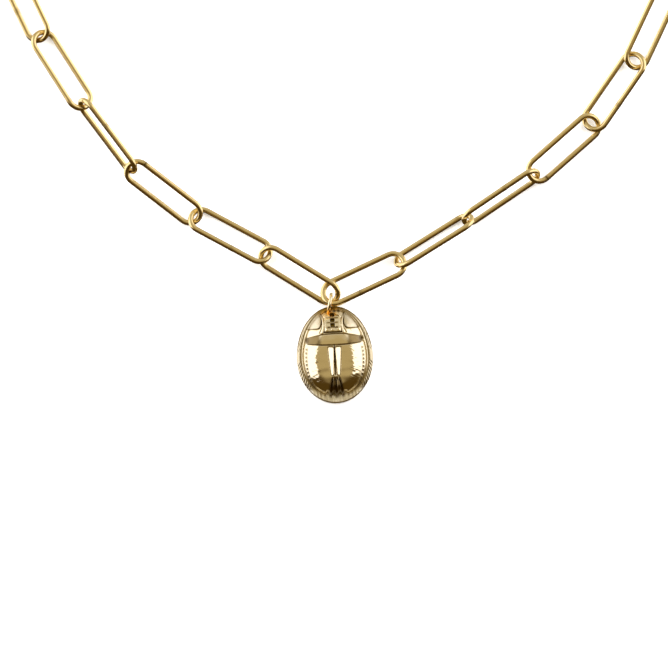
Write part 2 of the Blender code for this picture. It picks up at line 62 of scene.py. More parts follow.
lens = bpy.data.cameras.new("camera")
lens.sensor_width = SENSOR_MM
lens.lens = SENSOR_MM * CAMERA_DISTANCE / (PICTURE_MM * MM)
lens.clip_start = 0.01
lens.clip_end = 10.0
camera = bpy.data.objects.new("camera", lens)
camera.location = VIEW_CENTRE + Vector((0, 0, CAMERA_DISTANCE))
bpy.context.scene.collection.objects.link(camera)
bpy.context.scene.camera = camera
print("lens", round(lens.lens), "mm")

# %% [markdown]
# Shaders are easier to read as arithmetic than as a list of nodes. This small class wraps a
# socket, so that mask * 0.5 adds the Math node it stands for, and one method adds any other
# node: its type, its settings, and the values or links of its sockets.


# %% Shader arithmetic
class Wire:
    """A socket in a node tree that can be added, subtracted and multiplied."""

    def __init__(self, tree, socket):
        self.tree = tree
        self.socket = socket

    def maths(self, operation, first, second):
        """A Math node of that operation on two values or wires."""
        return self.add("ShaderNodeMath", {"operation": operation}, {0: first, 1: second})

    def add(self, kind, settings=None, inputs=None, output=0):
        """A node of that type, with its settings set first, and one of its outputs."""
        node = self.tree.nodes.new(kind)
        for name, value in (settings or {}).items():
            setattr(node, name, value)
        for name, value in (inputs or {}).items():
            if isinstance(value, Wire):
                self.tree.links.new(value.socket, node.inputs[name])
            else:
                node.inputs[name].default_value = value
        return Wire(self.tree, node.outputs[output])

    def __add__(self, other):
        return self.maths("ADD", self, other)

    def __radd__(self, other):
        return self.maths("ADD", other, self)

    def __sub__(self, other):
        return self.maths("SUBTRACT", self, other)

    def __mul__(self, other):
        return self.maths("MULTIPLY", self, other)

    def clamp(self):
        """The same value, kept between 0 and 1."""
        return self.add("ShaderNodeClamp", {}, {"Value": self})

    def mixed(self, first, second):
        """Colour first where this is 0 and second where it is 1."""
        return self.add(
            "ShaderNodeMix", {"data_type": "RGBA"}, {0: self, 6: first, 7: second}, output=2
        )


def start_material(name):
    """A new material, its shader node, and a wire that starts from Object coordinates."""
    material = bpy.data.materials.new(name)
    material.use_nodes = True
    tree = material.node_tree
    shader = tree.nodes["Principled BSDF"]
    places = tree.nodes.new("ShaderNodeTexCoord")
    return material, shader, Wire(tree, places.outputs["Object"])


def connect(wire, socket):
    """Join a wire to a socket of a node that is already there."""
    wire.tree.links.new(wire.socket, socket)


print("shader arithmetic ready")

# %% [markdown]
# The plating is a pale champagne gold, polished almost to a mirror. Nearly all of its look is
# what it reflects, so the base colour is even and the detail is small: a faint change of tone,
# a slight ripple left by the polishing wheel, and a darker brown in the carving, which is
# painted shade. Each mesh carries three attributes. The first is how much painted shade a point
# gets, most in the carving, and on the links it is their dark seam line. The second is how near
# it is to the ring's joint, which is a redder gold, partly the joint's own colour and partly a
# painted orange reflection. The third is how matt it is. Matt metal mixes the reflections of a
# wide angle into one even tone, and matt parts are also painted a paler, brighter gold, which
# is painted light.

# %% Gold plating
PENDANT_TONES = ((0.93, 0.82, 0.57, 1), (0.89, 0.77, 0.50, 1))
CHAIN_TONES = ((0.82, 0.66, 0.33, 1), (0.78, 0.61, 0.29, 1))
# The brown is painted shade, and on the links their dark seam line. The orange is the ring's joint and a
# painted reflection. The matt gold is painted paler, as painted light.
PAINTED_SHADE_AND_SEAM_BROWN = (0.15, 0.090, 0.010, 1)
SOLDER_AND_REFLECTION_GOLD = (0.88, 0.50, 0.08, 1)
MATT_PAINTED_LIGHT_GOLD = (1.00, 0.935, 0.72, 1)
CLOUD_SCALE = 260.0
WHEEL_SCALE = 420.0
HAZE_SCALE = 1500.0
HAZE_ROUGH = 0.05
DEEP_ROUGH = 0.2
SATIN_ROUGH = 0.35
BUMP_HEIGHT = 0.05 * MM


def gold(name, tones, roughness, ripple):
    """Metal that drifts between two tones, duller and browner where the depth attribute rises.

    That brown is painted shade, and on the links it is their dark seam line. Near the ring's joint
    the gold is redder, the joint's own colour and a painted orange reflection. Where it is matt it
    is rougher and painted a paler, brighter gold, which is painted light.
    """
    material, shader, place = start_material(name)
    cloud = place.add("ShaderNodeTexNoise", {}, {"Vector": place, "Scale": CLOUD_SCALE, "Detail": 2.0})
    haze = place.add("ShaderNodeTexNoise", {}, {"Vector": place, "Scale": HAZE_SCALE, "Detail": 3.0})
    wheel = place.add("ShaderNodeTexNoise", {}, {"Vector": place, "Scale": WHEEL_SCALE, "Detail": 1.0})
    seam_and_painted_shade = place.add("ShaderNodeAttribute", {"attribute_name": "depth"}, {}, output=2).clamp()
    solder = place.add("ShaderNodeAttribute", {"attribute_name": "solder"}, {}, output=2).clamp()
    satin_and_painted_light = place.add("ShaderNodeAttribute", {"attribute_name": "satin_and_painted_light"}, {}, output=2).clamp()
    # Painted light: matt parts get a paler, brighter gold.
    tone = satin_and_painted_light.mixed(cloud.mixed(*tones), MATT_PAINTED_LIGHT_GOLD)
    # A redder gold near the ring's joint: its own colour and a painted orange reflection.
    tone = solder.mixed(tone, SOLDER_AND_REFLECTION_GOLD)
    # Painted shade: a darker brown where the depth attribute rises, and on the links their dark seam line.
    connect(seam_and_painted_shade.mixed(tone, PAINTED_SHADE_AND_SEAM_BROWN), shader.inputs["Base Color"])
    rough = roughness + haze * HAZE_ROUGH + seam_and_painted_shade * DEEP_ROUGH + satin_and_painted_light * SATIN_ROUGH
    connect(rough, shader.inputs["Roughness"])
    height = wheel * 0.7 + haze * 0.1
    bump = place.add(
        "ShaderNodeBump", {}, {"Strength": ripple, "Distance": BUMP_HEIGHT, "Height": height}
    )
    connect(bump, shader.inputs["Normal"])
    shader.inputs["Metallic"].default_value = 1.0
    return material


PENDANT_GOLD = gold("polished_pendant_gold", PENDANT_TONES, roughness=0.10, ripple=0.25)
CHAIN_GOLD = gold("polished_chain_gold", CHAIN_TONES, roughness=0.17, ripple=0.30)
CLASP_GOLD = gold("polished_clasp_gold", CHAIN_TONES, roughness=0.17, ripple=0.30)
print("materials", [m.name for m in (PENDANT_GOLD, CHAIN_GOLD, CLASP_GOLD)])

# %% [markdown]
# Every new piece is a grid of points worked out with numpy. This helper turns whole arrays of
# points and faces into a smooth-shaded mesh, says which body it rides on and which solid it
# stands for.


# %% Making a piece
def make_piece(name, points, faces, material, slot, node=None, **marks):
    """A mesh object at the origin from whole arrays of points and faces, with its attributes."""
    mesh = bpy.data.meshes.new(name)
    mesh.from_pydata(points, [], faces)
    mesh.polygons.foreach_set("use_smooth", np.ones(len(mesh.polygons), bool))
    for mark in ("depth", "solder", "satin_and_painted_light"):
        values = np.asarray(marks.get(mark, np.zeros(len(points))), np.float32)
        mesh.attributes.new(mark, "FLOAT", "POINT").data.foreach_set("value", values)
    mesh.materials.append(material)
    mesh.update()
    piece = bpy.data.objects.new(name, mesh)
    bpy.context.scene.collection.objects.link(piece)
    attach(piece, "root")
    if node:
        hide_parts(node)
    return piece


def grid_faces(rows, columns, wrap_rows, wrap_columns):
    """Four-cornered faces between neighbouring points of a grid, closed round where it wraps."""
    row = np.arange(rows if wrap_rows else rows - 1)[:, None]
    column = np.arange(columns if wrap_columns else columns - 1)[None, :]
    below = row * columns
    above = (row + 1) % rows * columns
    beside = (column + 1) % columns
    return np.stack([below + column, below + beside, above + beside, above + column], -1).reshape(-1, 4)


print("a 3 x 4 grid closed both ways has", len(grid_faces(3, 4, True, True)), "faces")

# %% [markdown]
# Each link is a stadium: two half circles joined by straight sides, in round wire. Its solid
# already lies in the right place, turned a little about its own length, so the link's middle and
# its three directions are read from the solid's corner points: their mean is the middle, and
# their principal directions are along, across and through the link.
#
# The wire is then carried along the stadium as a circle. Real links are cut, bent and soldered
# shut, and the photograph shows a small lump with a fine dark line near one end of a link, so
# the wire swells there by a few hundredths of a millimetre.

# %% Wire along a path
LINK_WIRE = 0.905 * MM
LINK_SIDES = 20
BEND_STEPS = 22
STRAIGHT_STEPS = 26
SEAM_SWELL = 0.055
SEAM_NOTCH = 1.5
SEAM_DARK = 1.2
SEAM_SHADE = 0.25
SEAM_REACH = 0.42 * MM
SEAM_LINE = 0.07 * MM


def node_points(name):
    """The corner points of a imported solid, in the frame, each place once."""
    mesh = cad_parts[name].data
    flat = np.empty(len(mesh.vertices) * 3)
    mesh.vertices.foreach_get("co", flat)
    return np.unique(np.round(flat.reshape(-1, 3), 7), axis=0)


def link_axes(name):
    """Middle, directions (along, across, through) and sizes of a link's solid."""
    points = node_points(name)
    middle = points.mean(0)
    directions = np.linalg.svd(points - middle, full_matrices=False)[2]
    spans = (points - middle) @ directions.T
    return middle, directions, np.ptp(spans, axis=0)


def wire_grid(path, across, through, radius, sides, closed):
    """Circles of the given radius round each point of a flat path.

    A point of the tube is the path point plus radius times cos(angle) of the path's own side
    direction plus radius times sin(angle) of the direction through the path's plane.
    """
    ahead = np.roll(path, -1, axis=0) - np.roll(path, 1, axis=0)
    if not closed:
        ahead[0] = path[1] - path[0]
        ahead[-1] = path[-1] - path[-2]
    ahead /= np.linalg.norm(ahead, axis=1, keepdims=True)
    side = np.cross(ahead, through)
    angle = np.linspace(0, 2 * math.pi, sides, endpoint=False)[None, :, None]
    ring = side[:, None] * np.cos(angle) + through * np.sin(angle)
    return (path[:, None] + ring * radius[:, None, None]).reshape(-1, 3)


def stadium_path(length, width):
    """Points round a stadium in its own plane, as (along, across), and the distance walked."""
    turn = np.linspace(-math.pi / 2, math.pi / 2, BEND_STEPS)
    straight = np.linspace(0, 1, STRAIGHT_STEPS)[1:-1]
    reach = (length - width) / 2
    bend = np.stack([reach + width / 2 * np.cos(turn), width / 2 * np.sin(turn)], 1)
    top = np.stack([reach - 2 * reach * straight, np.full(len(straight), width / 2)], 1)
    half = np.concatenate([bend, top])
    path = np.concatenate([half, -half])
    walked = np.concatenate([[0], np.cumsum(np.linalg.norm(np.diff(path, axis=0), axis=1))])
    return path, walked


print("a link has", 2 * (BEND_STEPS + STRAIGHT_STEPS - 2) * LINK_SIDES, "points")

# %% Make the chain links
def make_link(node, seam_share):
    """One link in its solid's place, with its soldered seam at a share of the way round."""
    middle, directions, spans = link_axes(node)
    length = spans[0] - LINK_WIRE
    width = spans[1] - LINK_WIRE
    flat, walked = stadium_path(length, width)
    path = middle + flat[:, :1] * directions[0] + flat[:, 1:] * directions[1]
    away = np.abs(walked - seam_share * walked[-1])
    lump = np.exp(-((away / SEAM_REACH) ** 2))
    line = np.exp(-((away / SEAM_LINE) ** 2))
    radius = LINK_WIRE / 2 * (1 + SEAM_SWELL * lump - SEAM_NOTCH * SEAM_SWELL * line)
    points = wire_grid(path, directions[1], directions[2], radius, LINK_SIDES, True)
    faces = grid_faces(len(path), LINK_SIDES, True, True)
    if np.dot(np.cross(directions[0], directions[1]), directions[2]) < 0:
        faces = faces[:, ::-1]
    seam_and_painted_shade = np.repeat(np.clip(line * SEAM_DARK + lump * SEAM_SHADE, 0, 1), LINK_SIDES)
    return make_piece(node + "_wire", points, faces, CHAIN_GOLD, WIRE, node, depth=seam_and_painted_shade)


links = sorted(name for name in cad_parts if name.startswith("chain_link"))
SEAM_SPOTS = (0.19, 0.31, 0.69, 0.81)
for number, node in enumerate(links):
    make_link(node, SEAM_SPOTS[number % len(SEAM_SPOTS)])
print("links", len(links), "of", round(link_axes(links[0])[2][0] / MM, 2), "mm")

# %% [markdown]
# The beetle is worked out in its own frame, in millimetres: x across it, y towards its head, and
# z up. The work is one height over each point of an egg outline, so a feature is a mask with
# soft edges times a height. Each feature also gives a mask of painted shade, a darker, browner
# gold in its grooves and pits and on some zones beside them. Sizes come from the photograph,
# where one millimetre is 6.1 pixels.

# %% Soft masks and the egg outline
HALF_WIDTH = 6.25
ABOVE = 8.50
BELOW = 7.44
HEIGHT = 5.0
RIM = 1.20
SIDE_WALL = 0.55
TILT = math.radians(2.8)
RING_ASIDE = -0.40


def rise(value, low, high):
    """Smooth step: 0 below low, 1 above high, and 3t^2 - 2t^3 between them."""
    t = np.clip((value - low) / (high - low), 0, 1)
    return t * t * (3 - 2 * t)


def within(distance, soft):
    """1 where a signed distance is inside an outline, falling to 0 over its soft edge."""
    return 1 - rise(distance, -soft / 2, soft / 2)


def groove(distance, half_width):
    """A rounded groove or ridge: 1 on the line, falling as a bell to 0 beside it."""
    return np.exp(-((distance / half_width) ** 2))


def egg_radius(x, y, half_width, above, below):
    """Share of the way from the middle to an egg outline of two half ellipses."""
    return np.hypot(x / half_width, y / np.where(y > 0, above, below))


def round_max(first, second, soft):
    """The larger of two distances, rounded where they cross."""
    return (first + second + np.sqrt((first - second) ** 2 + soft * soft)) / 2


def walked_round(x, y, half_width, below):
    """Distance along the egg outline from its widest point, read from a table of arc lengths."""
    turn = np.linspace(-math.pi / 2, math.pi / 2, 400)
    step = np.hypot(np.gradient(half_width * np.cos(turn)), np.gradient(below * np.sin(turn)))
    angle = np.arctan2(y / below, np.abs(x) / half_width)
    return np.interp(angle, turn, np.cumsum(step) - np.sum(step) / 2)


print("outline at y = 2:", round(HALF_WIDTH * math.sqrt(1 - (2 / ABOVE) ** 2), 2), "mm from the middle")

# %% [markdown]
# The blank first: a rounded rim, and a dome on it whose height falls from the middle as
# (1 - r^f)^0.6 with f = 4, growing to 11 at the tail. That is the same curve that the solid
# has, so its top is nearly flat and its sides are steep. Slow waves a hundredth of a
# millimetre high, and finer ones on its shoulders, make its reflections ragged, as hand
# polishing leaves them. The rim's section is a quarter of an ellipse at the sides. At the
# tail it is a flat strip with shallow flutes, and the dome's foot runs in small teeth there,
# made by letting r grow a little faster between them.

# %% The blank
DOME_HALF = 5.42
DOME_ABOVE = 8.05
DOME_BELOW = 6.28
DOME_FLATNESS = 4.0
DOME_TAIL_FLATNESS = 7.0
DOME_SHOULDER = 0.60
EDGE_ROUND = 0.90
TAIL_ROUND = 0.22
FLOOR_GROOVE = 0.10
WAVE = 0.009
RIPPLE = 0.0065
TAIL_FROM = 4.8
TAIL_TO = 6.2
TAIL_FLARE = 0.16
FLARE_WIDTH = 1.2
TAIL_FLUTE = 0.030
TOOTH = 0.085
TOOTH_STEP = 0.98
TOOTH_AT = 0.05
TOOTH_REACH = 1.75
SHOULDER_FROM = 2.0
SHOULDER_TO = 3.2


def rim_height(x, y):
    """The rim: a quarter ellipse in section, and at the tail a fluted strip leaning inwards.

    The flutes are a cosine across the strip, bent a little by a slower sine.
    """
    inward = (1 - egg_radius(x, y, HALF_WIDTH, ABOVE, BELOW)) * HALF_WIDTH
    behind = rise(-y, TAIL_FROM, TAIL_TO)
    turn = 1 - np.clip(inward / (EDGE_ROUND + (TAIL_ROUND - EDGE_ROUND) * behind), 0, 1)
    level = SIDE_WALL + (RIM - SIDE_WALL) * np.sqrt(1 - turn * turn)
    flare = TAIL_FLARE * (1 - np.clip(inward / FLARE_WIDTH, 0, 1))
    flutes = TAIL_FLUTE * np.cos(9.5 * x + 1.2 * np.sin(2.1 * x) + 1.1 * y)
    return level + behind * (flare + flutes) * rise(inward, 0.0, TAIL_ROUND)


def dome_height(x, y):
    """The body's dome and the share of the way to its edge, which is toothed at the tail.

    Its waves and ripples are sums of sines that run at different slants.
    """
    share = egg_radius(x, y, DOME_HALF, DOME_ABOVE, DOME_BELOW)
    notch = 0.5 - 0.5 * np.cos(2 * math.pi * (x - TOOTH_AT) / TOOTH_STEP)
    notch = notch * rise(-y, 4.4, 5.8) * within(np.abs(x) - TOOTH_REACH, 1.1)
    share = share * (1 + TOOTH * notch)
    flatness = DOME_FLATNESS + DOME_TAIL_FLATNESS * np.clip(-y / DOME_BELOW, 0, 1) ** 2
    dome = HEIGHT * np.clip(1 - share**flatness, 0, 1) ** DOME_SHOULDER
    wave = np.sin(3.1 * x + 1.3 * y) + np.sin(2.3 * y - 1.9 * x + 1.0) + np.sin(4.4 * y + 2.0)
    ripple = np.sin(9.1 * y + 2.2 * x + 1.5 * np.sin(2.9 * x)) + np.sin(6.7 * y - 5.3 * x)
    ripple = ripple + np.sin(12.7 * y + 7.9 * x + 2.0 * np.sin(3.7 * y))
    shoulder = rise(np.abs(x), SHOULDER_FROM, SHOULDER_TO)
    return dome + WAVE * wave + RIPPLE * shoulder * ripple, share


print("dome", round(float(dome_height(np.array(0.0), np.array(3.0))[0]), 2), "mm high at y = 3")

# %% [markdown]
# The front of the beetle, from its neck to its head. A smooth strip bowed towards the head
# crosses the body behind it, with a small dark pit at its right end. Two pillow-like plates
# with rounded corners lie at the sides, each in a fine groove. A ribbed plate runs down the
# middle with three square pits in it, between two curved bars that flare at their feet.

# %% Front of the beetle
FRONT_ASIDE = -0.12
BAND_TOP = 3.92
BAND_BOTTOM = 2.20
BAND_REACH = 4.55
BAND_SIDE_SHADE = 0.88
CORNER_ASIDE = 4.62
CORNER_UP = 3.15
LEFT_CORNER_DEPTH = 0.30
RIGHT_CORNER_DEPTH = 0.95
PLATE_FOOT = 4.86
PLATE_INNER = 1.80
PLATE_CORNER = 0.30
PLATE_LIFT = 0.08
PLATE_PILLOW = 0.10
PLATE_GROOVE = 0.15
CHEEK_LINE = 1.54
CHEEK_BOW = 0.15
CHEEK_HALF = 0.19
CHEEK_LIFT = 0.26
HEAD_HALF = 1.36
HEAD_LOW = 4.32
HEAD_HIGH = 7.55
PIT_ROWS = (7.08, 6.22, 5.40)
GROOVE_ROWS = (6.64, 5.82, 5.00)
NECK_BUMPS = (-0.95, 0.0, 0.95)
BUMP_ROW = 4.78
BUMP_RADIUS = 0.21
PIT_HALF_WIDTH = 0.36
PIT_HALF_LENGTH = 0.27
HEAD_TOOTH_STEP = 0.72


def band(x, y):
    """The strip between front and wing cases: raised, slightly round, with crisp edges."""
    top = BAND_TOP - 0.028 * x * x
    bottom = BAND_BOTTOM + 0.014 * x * x
    inside = within(y - top, 0.12) * within(bottom - y, 0.12) * within(np.abs(x) - BAND_REACH, 0.5)
    middle = (y - (top + bottom) / 2) / (BAND_TOP - BAND_BOTTOM)
    edge = groove(y - top - 0.07, 0.07) + groove(bottom - y - 0.07, 0.07)
    edge = edge * within(np.abs(x) - 4.4, 0.4)
    corner = groove(np.abs(x) - CORNER_ASIDE, 0.32) * groove(y - CORNER_UP, 0.42)
    # Painted shade: the band's outer parts are darker and browner.
    side_shade = BAND_SIDE_SHADE * inside * rise(np.abs(x), 1.9, 2.6)
    pit = np.where(x > 0, RIGHT_CORNER_DEPTH, LEFT_CORNER_DEPTH) * corner
    height = inside * (0.16 - 0.10 * middle * middle) - 0.10 * edge - pit
    return height, edge + corner + side_shade


def plate_distance(x, y):
    """Signed distance from the outline of the rounded three-cornered plates.

    It is the largest of three: from the plate's foot, from a curve round the cheek bar, and
    from a slanting line beside the rim that bows out a little. The corners are rounded.
    """
    ax = np.abs(x)
    low = PLATE_FOOT - y
    inner = PLATE_INNER + 0.16 * (y - 6.4) ** 2 - ax
    outer = 0.771 * ax + 0.637 * y - 6.50 - 0.06 * (1 - ((y - 6.2) / 1.2) ** 2)
    return round_max(round_max(low, inner, PLATE_CORNER), outer, PLATE_CORNER)


def side_plates(x, y):
    """The plates at both sides of the head, each in its groove."""
    distance = plate_distance(x, y)
    line = groove(distance - 0.08, 0.09)
    pillow = np.clip(-distance, 0, 0.8) / 0.8
    inside = within(distance, 0.12)
    height = inside * (PLATE_LIFT + PLATE_PILLOW * pillow * (2 - pillow)) - PLATE_GROOVE * line
    # Painted shade in the groove and over the whole plate.
    return height, line + 0.30 * inside


def cheek_bars(x, y):
    """Curved bars beside the head plate, their middle line bowing towards it."""
    line = CHEEK_LINE + CHEEK_BOW * (y - 5.6) ** 2
    half = CHEEK_HALF + 0.08 * rise(-y, -5.0, -4.3)
    off = (np.abs(x) - line) / half
    ends = within(y - 7.25, 0.3) * within(4.10 - y, 0.15)
    body = np.sqrt(np.clip(1 - off * off, 0, 1)) * ends
    beside = groove(np.abs(off) - 1.25, 0.30) * ends
    return CHEEK_LIFT * body - 0.08 * beside, beside * 0.7


def head_plate(x, y):
    """The ribbed plate, its grooves, its three square pits and the row of bumps at its foot."""
    half = HEAD_HALF - 0.30 * rise(y, 6.3, HEAD_HIGH)
    inside = within(np.abs(x) - half, 0.12) * within(HEAD_LOW - y, 0.10) * within(y - HEAD_HIGH, 0.25)
    rows = sum(groove(y - row, 0.12) for row in GROOVE_ROWS) * within(np.abs(x) - 0.95, 0.3)
    pits = sum(
        within(np.abs(x) - PIT_HALF_WIDTH, 0.10) * within(np.abs(y - row) - PIT_HALF_LENGTH, 0.10)
        for row in PIT_ROWS
    )
    bumps = sum(groove(np.hypot(x - spot, y - BUMP_ROW), BUMP_RADIUS) for spot in NECK_BUMPS)
    foot = groove(y - HEAD_LOW + 0.05, 0.10) * within(np.abs(x) - half - 0.15, 0.3)
    height = inside * (0.22 - 0.15 * rows - 0.50 * pits + 0.13 * bumps) - 0.16 * foot
    return height, inside * (rows * 0.75 + 1.2 * pits) + foot


def head_teeth(x, y):
    """The toothed front edge of the head, in front of the plate."""
    zone = within(np.abs(x) - 2.5, 0.8) * rise(y, 7.35, 7.65) * within(y - 8.25, 0.3)
    teeth = np.cos(2 * math.pi * x / HEAD_TOOTH_STEP)
    # Painted shade over the teeth's zone, more between the teeth.
    return zone * (0.10 + 0.13 * teeth), zone * (0.75 - 0.35 * teeth)


print("head plate rows", len(PIT_ROWS) + len(GROOVE_ROWS))

# %% [markdown]
# The wing cases fill the back half. A fine seam runs down their middle between two raised ribs
# that taper towards the tail. Below the ribs, furrows fan out to the toothed edge. A band with
# a row of beads borders the sides, and slanting notches on the rim stand for the folded legs.

# %% Wing cases and rim
RIB_TOP = 1.92
RIB_FOOT = -2.85
RIB_INNER = 0.07
RIB_OUTER = 1.13
RIB_SLOPE = 0.50
RIB_SINK = 0.11
FURROW_LENGTH = 3.4
FURROW_END = -6.55
FURROW_FEET = (-0.98, -0.45, 0.03, 0.62, 1.20)
FURROW_HEADS = (-0.42, -0.20, 0.00, 0.22, 0.46)
FURROW_DEPTHS = (0.34, 0.16, 0.34, 0.16, 0.34)
BEAD_HALF = 4.74
BEAD_ABOVE = 7.35
BEAD_BELOW = 7.8
BEAD_STEP = 0.66
BORDER_TOP = 1.9
BORDER_FOOT = -6.2
LEG_STEP = 0.60
LEG_DEPTH = 0.08
LEG_SHADE = 0.35
LEG_INSIDE = 0.62
FRONT_LEGS_AT = 3.0
FRONT_LEGS_HALF = 1.75
HIND_LEGS_AT = -2.6
HIND_LEGS_HALF = 2.1


def ribs_and_seam(x, y):
    """Two tapering ribs beside the seam, each sloping away from it like one side of a roof."""
    down = np.clip((RIB_TOP - y) / (RIB_TOP - RIB_FOOT), 0, 1)
    inner = RIB_INNER + 0.20 * down
    outer = RIB_OUTER - 0.38 * down
    ax = np.abs(x)
    distance = round_max(inner - ax, ax - outer, 0.05)
    distance = round_max(distance, y - RIB_TOP + 0.10, 0.20)
    distance = round_max(distance, RIB_FOOT - y, 0.20)
    body = within(distance, 0.08)
    slope = RIB_SLOPE * np.clip(outer - ax, 0, 1)
    line = groove(distance - 0.06, 0.06)
    seam = groove(x, 0.06 + 0.06 * down) * within(y - 2.15, 0.15) * within(RIB_FOOT - y, 0.3)
    return body * (slope - RIB_SINK) - 0.05 * line - 0.20 * seam, line * 0.6 + seam


def furrows(x, y):
    """Furrows that fan out and deepen towards the edge of the wing cases."""
    down = np.clip((RIB_FOOT + 0.1 - y) / FURROW_LENGTH, 0, 1.1)
    on = rise(down, 0.0, 0.35)
    total = 0.0
    for foot, head, depth in zip(FURROW_FEET, FURROW_HEADS, FURROW_DEPTHS):
        line = head + (foot - head) * down
        total = total + depth * groove(x - line, 0.09 + 0.13 * down)
    zone = on * within(FURROW_END - y, 0.2)
    fan = within(np.abs(x) - 0.75 - 0.75 * down, 0.4) * zone
    # Painted shade in the furrows and over the fan between them.
    return -total * zone, np.clip(total * zone * 2.6 + fan * 0.55, 0, 1)


def beaded_border(x, y):
    """A raised band inside the body's edge, with beads along its inner side.

    The beads are a cosine of the distance walked along the outline.
    """
    share = egg_radius(x, y, BEAD_HALF, BEAD_ABOVE, BEAD_BELOW)
    off = (share - 1) * BEAD_HALF
    zone = within(y - BORDER_TOP, 0.6) * within(BORDER_FOOT - y, 0.5)
    band_here = within(-off, 0.14) * zone
    walked = walked_round(x, y, BEAD_HALF, BEAD_BELOW)
    beads = 0.5 + 0.5 * np.cos(2 * math.pi * walked / BEAD_STEP)
    row = groove(off + 0.02, 0.17) * zone
    line = groove(off + 0.20, 0.07) * zone
    height = 0.12 * band_here + row * (0.14 * beads - 0.09) - 0.08 * line
    return height, row * (1 - beads) * 0.9 + line * 0.5


def leg_marks(x, y):
    """Slanting notches in two groups on each side of the rim."""
    inward = (1 - egg_radius(x, y, HALF_WIDTH, ABOVE, BELOW)) * HALF_WIDTH
    walked = walked_round(x, y, HALF_WIDTH, BELOW)
    front = within(np.abs(y - FRONT_LEGS_AT) - FRONT_LEGS_HALF, 0.3)
    hind = within(np.abs(y - HIND_LEGS_AT) - HIND_LEGS_HALF, 0.3)
    slant = np.where(y > 0, 1.0, -1.0) * inward * 1.1
    marks = 0.5 + 0.5 * np.cos(2 * math.pi * (walked + slant) / LEG_STEP)
    marks = marks**2 * (0.7 + 0.3 * np.sin(5.3 * y + 1.0))
    zone = within(inward - LEG_INSIDE, 0.2) * (front + hind)
    # Painted shade in the notches.
    return -LEG_DEPTH * marks * zone, marks * zone * LEG_SHADE


print("beads each side about", round((BORDER_TOP - BORDER_FOOT) / BEAD_STEP))
print("leg marks each side about", round(2 * (FRONT_LEGS_HALF + HIND_LEGS_HALF) / LEG_STEP))

# %% [markdown]
# A square grid is bent onto the egg outline, so that the points stay nearly evenly spaced and
# there is no pole in the middle of the carving. For a grid point (u, v) from -1 to 1 each, x is
# u * sqrt(1 - v^2 / 2) and y is v * sqrt(1 - u^2 / 2), both times the outline's sizes. The edge
# of the grid is then carried straight down to the back, which is closed by a fan of triangles.

# %% Make the beetle
GRID_ACROSS = 272
GRID_ALONG = 328
EDGE_SHADE = 0.75
RIM_TOP_SHADE = 0.38
GAP_SHADE = 0.35
PLATE_SATIN = 0.5
RIM_SATIN = 0.2


def beetle_height(x, y):
    """Height over the back, and the painted shade of each point, most in the carving.

    Three more places get painted shade, a darker, browner gold: the rim's outer edge in front,
    the rim's top except at the tail, and the gap at the dome's foot, less so at the tail.
    """
    dome, share = dome_height(x, y)
    rim = rim_height(x, y)
    leg, leg_painted_shade = leg_marks(x, y)
    front = x - FRONT_ASIDE
    parts = [part(front, y) for part in (side_plates, cheek_bars, head_plate, head_teeth)]
    parts += [band(x, y)]
    parts += [ribs_and_seam(x, y), furrows(x, y), beaded_border(x, y)]
    body = dome + sum(part[0] for part in parts) * within(share - 0.985, 0.04)
    seam_and_painted_shade = sum(part[1] for part in parts) * within(share - 1, 0.05)
    gap = groove((share - 1) * DOME_HALF - 0.05, 0.12)
    rim = rim + leg * rise(share, 1.0, 1.05) - FLOOR_GROOVE * gap
    height = round_max(body, rim, 0.06)
    inward = (1 - egg_radius(x, y, HALF_WIDTH, ABOVE, BELOW)) * HALF_WIDTH
    # Painted shade on the rim's outer edge towards the head, on the rim's top, and in the gap at the
    # dome's foot.
    edge = EDGE_SHADE * (1 - rise(inward, 0.06, 0.24)) * rise(y, 0.5, 3.5)
    rim_top_shade = RIM_TOP_SHADE * rise(share, 1.0, 1.03) * (1 - rise(-y, 4.6, 5.6))
    shade = GAP_SHADE * gap * (1 - 0.7 * rise(-y, 4.8, 5.8))
    seam_and_painted_shade = seam_and_painted_shade + leg_painted_shade * rise(share, 1.0, 1.05) + shade
    return height, np.clip(seam_and_painted_shade + edge + rim_top_shade, 0, 1)


def matt_and_painted_light_mask(x, y):
    """Where the metal is matt and painted a paler, brighter gold, which is painted light.

    That is the side plates, the rim's strip at the tail, and less on the rim.
    """
    share = dome_height(x, y)[1]
    plates = within(plate_distance(x - FRONT_ASIDE, y), 0.2)
    tail = rise(share, 1.0, 1.03) * rise(-y, 4.6, 5.6)
    return np.clip(PLATE_SATIN * plates + tail + RIM_SATIN * rise(share, 0.99, 1.02), 0, 1)


def edge_loop(rows, columns):
    """Grid numbers of the outer edge, walked once round."""
    top = np.arange(columns - 1)
    right = np.arange(rows - 1) * columns + columns - 1
    bottom = (rows - 1) * columns + np.arange(columns - 1, 0, -1)
    left = np.arange(rows - 1, 0, -1) * columns
    return np.concatenate([top, right, bottom, left])


def to_room(points):
    """From the beetle's own millimetres to the frame: turned by its tilt, in metres."""
    turn = np.array([[math.cos(TILT), -math.sin(TILT), 0], [math.sin(TILT), math.cos(TILT), 0], [0, 0, 1]])
    return points @ turn.T * MM


